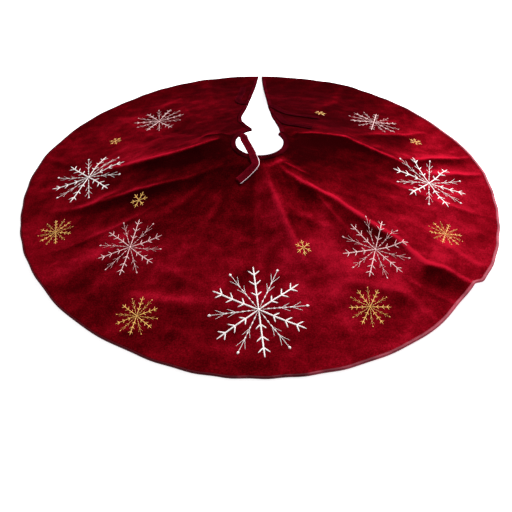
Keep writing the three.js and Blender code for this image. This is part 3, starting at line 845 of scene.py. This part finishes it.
def make_flake(node, pattern, material, slot):
    low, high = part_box(node)
    cx, cy = (low.x + high.x) / 2, (low.y + high.y) / 2
    reach = max(high.x - low.x, high.y - low.y) / 2
    outward = math.degrees(math.atan2(cy, cx)) + FLAKE_TURN[node]
    turn_x, turn_y = polar(reach, outward)
    strokes = []
    for x0, y0, x1, y1, width, kind in pattern:
        start = (cx + x0 * turn_x - y0 * turn_y, cy + x0 * turn_y + y0 * turn_x)
        end = (cx + x1 * turn_x - y1 * turn_y, cy + x1 * turn_y + y1 * turn_x)
        strokes.append((*start, *end, width * reach, kind))
    piece = strokes_object(node + "_stitches", strokes, 0.25 * MM)
    piece.data.materials.append(material)
    return finish_piece(piece, "skirt", slot, node)


def make_flakes():
    made = []
    for node in sorted(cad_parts):
        if node.startswith("flake_silver_large"):
            made.append(make_flake(node, full_flake(1.0), SILVER, "silver_thread"))
        elif node.startswith("flake_silver"):
            made.append(make_flake(node, full_flake(0.8), ROSE_SILVER, "silver_thread"))
        elif node.startswith("flake_gold_medium"):
            made.append(make_flake(node, full_flake(1.0), GOLD, "gold_thread"))
        elif node.startswith("flake_gold_small"):
            made.append(make_flake(node, small_flake(0.8), GOLD, "gold_thread"))
    return made


# ---- ties --------------------------------------------------------------------------------------

def curve_points(path, count):
    """Evenly spaced points and unit headings along a smooth curve through plan points."""
    path = np.array(path, float)
    ends = np.vstack([2 * path[0] - path[1], path, 2 * path[-1] - path[-2]])
    fine = []
    for a, b, c, d in zip(ends, ends[1:], ends[2:], ends[3:]):
        for t in np.linspace(0, 1, 24, endpoint=False):
            fine.append(0.5 * (2 * b + (c - a) * t + (2 * a - 5 * b + 4 * c - d) * t ** 2
                               + (3 * b - a - 3 * c + d) * t ** 3))
    fine = np.array(fine + [path[-1]])
    along = run_length(fine)
    stops = np.linspace(0, min(TIE_LENGTH, along[-1]), count)
    points = np.stack([np.interp(stops, along, fine[:, 0]), np.interp(stops, along, fine[:, 1])], axis=1)
    heading = np.gradient(points, axis=0)
    return points, heading / np.hypot(*heading.T)[:, None]


def ribbon(name, path, body, start_height=None, pale_from=1, shade=0.0):
    """A flat velvet ribbon laid over the cloth along a plan path, pale on its underside.

    With a start height it hangs from there over the hole until it lands on the cloth. Past pale_from,
    a share of its length, the pale side shows at one edge. Shade is painted shade that darkens its pile.
    """
    across = np.array([-1, -0.8, -0.5, -0.2, 0.1, 0.4, 0.7, 0.87, 1])
    rows, columns = 56, len(across)
    centre, heading = curve_points(path, rows)
    side = np.stack([-heading[:, 1], heading[:, 0]], axis=1)
    x = centre[:, :1] + side[:, :1] * across * TIE_WIDTH / 2
    y = centre[:, 1:] + side[:, 1:] * across * TIE_WIDTH / 2
    cloth = top(x, y)
    hole = np.hypot(x, y) < HOLE_RADIUS + 1 * MM
    ground = np.where(hole, -1, cloth)
    held = np.array([row.max() for row in ground])
    if start_height is not None:
        held[0] = start_height
        landing = next(k for k in range(3, rows) if (ground[k] > 0).all())
        share = np.linspace(0, 1, landing + 1)
        held[:landing + 1] = held[0] + share * (held[landing] - held[0]) - 3 * MM * np.sin(math.pi * share)
        cloth[:landing + 1] = held[:landing + 1, None]
    lift = 2.0 * MM + 0.5 * MM * np.sin(np.linspace(0, 9, rows))[:, None] * (1 + 0.4 * across)
    z = cloth + lift
    for _ in range(3):
        smooth = z.copy()
        smooth[1:-1] = (z[:-2] + 2 * z[1:-1] + z[2:]) / 4
        z = np.maximum(smooth, np.where(hole, 0, top(x, y)) + 1.3 * MM)
    piece = grid_object(name, x, y, z)
    vertex_value(piece, "tone_and_painted_light", 0.12 * np.abs(across) * np.ones(z.shape) - 0.06 - shade)
    vertex_value(piece, "glow", np.full(z.shape, 0.6))
    piece.data.materials.append(TIE_VELVET)
    piece.data.materials.append(RIBBON_BACK)
    for i in range(int(pale_from * (rows - 1)), rows - 1):
        piece.data.polygons[i * (columns - 1) + columns - 2].material_index = 1
    thicken(piece, TIE_THICKNESS, 1, even=False).material_offset = 1
    return finish_piece(piece, body, "tie_velvet", body)


def make_ties():
    made = []
    bearing = math.radians(NECK_TIE_BEARING)
    start = at_angle(HOLE_RADIUS - 2 * MM, bearing)
    over_hole = (start[0] * 0.83, start[1] * 0.83)
    path = [start, over_hole] + [(px * MM, py * MM) for px, py in NECK_TIE_PATH]
    rim = float(top(*at_angle(HOLE_RADIUS + 2 * MM, bearing)))
    made.append(ribbon("ribbon_upper_left", path, "tie_upper_left", rim - 1.5 * MM, 0.5))
    for body, side, distance, route in SLIT_TIES:
        r = distance * MM
        table = SLIT_LEFT if side < 0 else SLIT_RIGHT
        edge_x = float(slit_width(table, r)) + 2.4 * MM
        start = (side * edge_x, math.sqrt(r * r - edge_x * edge_x))
        path = [start, (start[0] + side * 10 * MM, start[1])] + [(px * MM, py * MM) for px, py in route]
        # The slit's ties lie in shade, so their pile is darkened with painted shade.
        made.append(ribbon(body.replace("tie", "ribbon"), path, body, shade=0.3))
    return made


# ---- the studio --------------------------------------------------------------------------------

def make_camera():
    data = bpy.data.cameras.new("camera")
    data.sensor_width = SENSOR_WIDTH
    data.lens = CAMERA_LENS
    camera = bpy.data.objects.new("camera", data)
    camera.location = CAMERA_PLACE
    camera.rotation_euler = [math.radians(turn) for turn in CAMERA_TURN]
    bpy.context.scene.collection.objects.link(camera)
    bpy.context.scene.camera = camera


def make_floor():
    floor = mesh_object("floor", [(-6, -6, 0), (6, -6, 0), (6, 6, 0), (-6, 6, 0)], [(0, 1, 2, 3)])
    n = Nodes("pale_floor")
    n.link(n.mix(n.noise(2.0), (0.86, 0.86, 0.87), (0.90, 0.90, 0.91)), n.shader.inputs["Base Color"])
    n.set(Roughness=0.7, Emission_Color=(1, 1, 1, 1), Emission_Strength=0.6)
    floor.data.materials.append(n.material)


def area_light(name, place, aim, size, power):
    """A rectangular lamp at a place in metres, turned to its aim, with its power in watts."""
    data = bpy.data.lights.new(name, "AREA")
    data.shape = "RECTANGLE"
    data.size, data.size_y = size
    data.energy = power
    lamp = bpy.data.objects.new(name, data)
    lamp.location = place
    lamp.rotation_euler = (Vector(aim) - Vector(place)).to_track_quat("-Z", "Y").to_euler()
    bpy.context.scene.collection.objects.link(lamp)


def make_lights():
    world = bpy.data.worlds.new("studio")
    world.use_nodes = True
    sky = world.node_tree.nodes["Background"]
    sky.inputs["Color"].default_value = (1, 1, 1, 1)
    sky.inputs["Strength"].default_value = 0.38
    bpy.context.scene.world = world
    area_light("back_key", (1.3, 1.7, 1.9), (0.1, 0.0, 0), (1.3, 0.8), 150)
    area_light("front_fill", (-0.6, -2.2, 2.6), (0, 0, 0), (1.8, 1.8), 18)


# ---- assembly ----------------------------------------------------------------------------------

make_camera()
make_floor()
make_lights()
bpy.context.scene.view_settings.view_transform = "Standard"

velvet = make_velvet()
lining = make_lining()
tapes = make_bindings()
flakes = make_flakes()
ties = make_ties()
